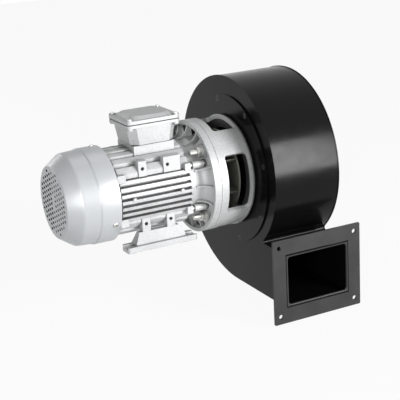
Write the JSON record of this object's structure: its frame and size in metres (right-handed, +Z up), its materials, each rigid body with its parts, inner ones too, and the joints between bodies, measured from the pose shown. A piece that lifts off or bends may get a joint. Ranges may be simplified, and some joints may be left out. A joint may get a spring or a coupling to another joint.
{
  "type": "centrifugal fan",
  "caption": "Centrifugal fan: a finned foot-and-flange motor drives a forward-curved impeller in a sheet-metal volute through a windowed cast spacer ring.",
  "frame": {"origin": "on the plane of the motor feet, amid the four foot holes", "axes": "+X along the shaft from the motor to the fan casing, +Z up, outlet towards -Y"},
  "size_m": [0.3929, 0.2954, 0.3247],
  "materials": {
    "cast_aluminium": "satin cast",
    "cover_silver": "satin silver paint",
    "casing_black": "gloss black paint",
    "flange_black": "satin black paint",
    "zinc_steel": "zinc plated",
    "machined_steel": "ground",
    "core_steel": "laminated",
    "copper_coils": "varnished",
    "black_rubber": "matte",
    "black_plastic": "matte",
    "wheel_grey": "dull cast",
    "impeller_steel": "galvanised"
  },
  "bodies": {
    "stator": {"motor_frame": "cast_aluminium", "left_foot": "cast_aluminium", "right_foot": "cast_aluminium", "foot_screws": "zinc_steel", "terminal_box": "cast_aluminium", "box_gaskets": "black_rubber", "terminal_lid": "cast_aluminium", "lid_screws": "zinc_steel", "terminal_board": "black_plastic", "terminal_studs": "zinc_steel", "cable_gland": "black_plastic", "stator_core": "core_steel", "stator_windings": "copper_coils", "front_bearing_outer": "machined_steel", "rear_bearing_outer": "machined_steel", "preload_washer": "machined_steel", "front_flange_shield": "cast_aluminium", "front_oil_seal": "black_rubber", "rear_end_shield": "cast_aluminium", "front_tie_screws": "zinc_steel", "rear_tie_screws": "zinc_steel", "flange_bolts": "zinc_steel", "flange_nuts": "zinc_steel", "fan_cover": "cover_silver", "fan_cover_screws": "zinc_steel", "lantern": "cast_aluminium", "lantern_screws": "zinc_steel", "mounting_plate": "casing_black", "mounting_plate_screws": "flange_black", "scroll_back_plate": "casing_black", "scroll_wrap": "casing_black", "scroll_front_plate": "casing_black", "outlet_flange": "flange_black", "inlet_cone": "casing_black", "inlet_screws": "zinc_steel"},
    "rotor": {"shaft": "machined_steel", "shaft_keys": "machined_steel", "rotor_core": "core_steel", "front_bearing_inner": "machined_steel", "rear_bearing_inner": "machined_steel", "motor_fan": "black_plastic", "motor_fan_clip": "machined_steel", "cooling_wheel": "wheel_grey", "cooling_wheel_screw": "machined_steel", "impeller_hub": "machined_steel", "impeller_back_plate": "impeller_steel", "impeller_blades": "impeller_steel", "impeller_front_ring": "impeller_steel", "impeller_rivets": "zinc_steel", "impeller_washer": "zinc_steel", "impeller_bolt": "zinc_steel"},
    "front_balls": {"front_bearing_balls": "machined_steel"},
    "rear_balls": {"rear_bearing_balls": "machined_steel"}
  },
  "joints": [
    {"name": "rotor_spin", "type": "hinge", "parent": "stator", "child": "rotor", "pos_m": [0, 0, 0.071], "axis": [-1, 0, 0], "continuous": true},
    {"name": "front_cage_spin", "type": "hinge", "parent": "stator", "child": "front_balls", "pos_m": [0.0695, 0, 0.071], "axis": [-1, 0, 0], "continuous": true},
    {"name": "rear_cage_spin", "type": "hinge", "parent": "stator", "child": "rear_balls", "pos_m": [-0.0665, 0, 0.071], "axis": [-1, 0, 0], "continuous": true}
  ],
  "couplings": [
    {"joint": "front_cage_spin", "follows": "rotor_spin", "ratio": 0.382},
    {"joint": "rear_cage_spin", "follows": "rotor_spin", "ratio": 0.382}
  ]
}
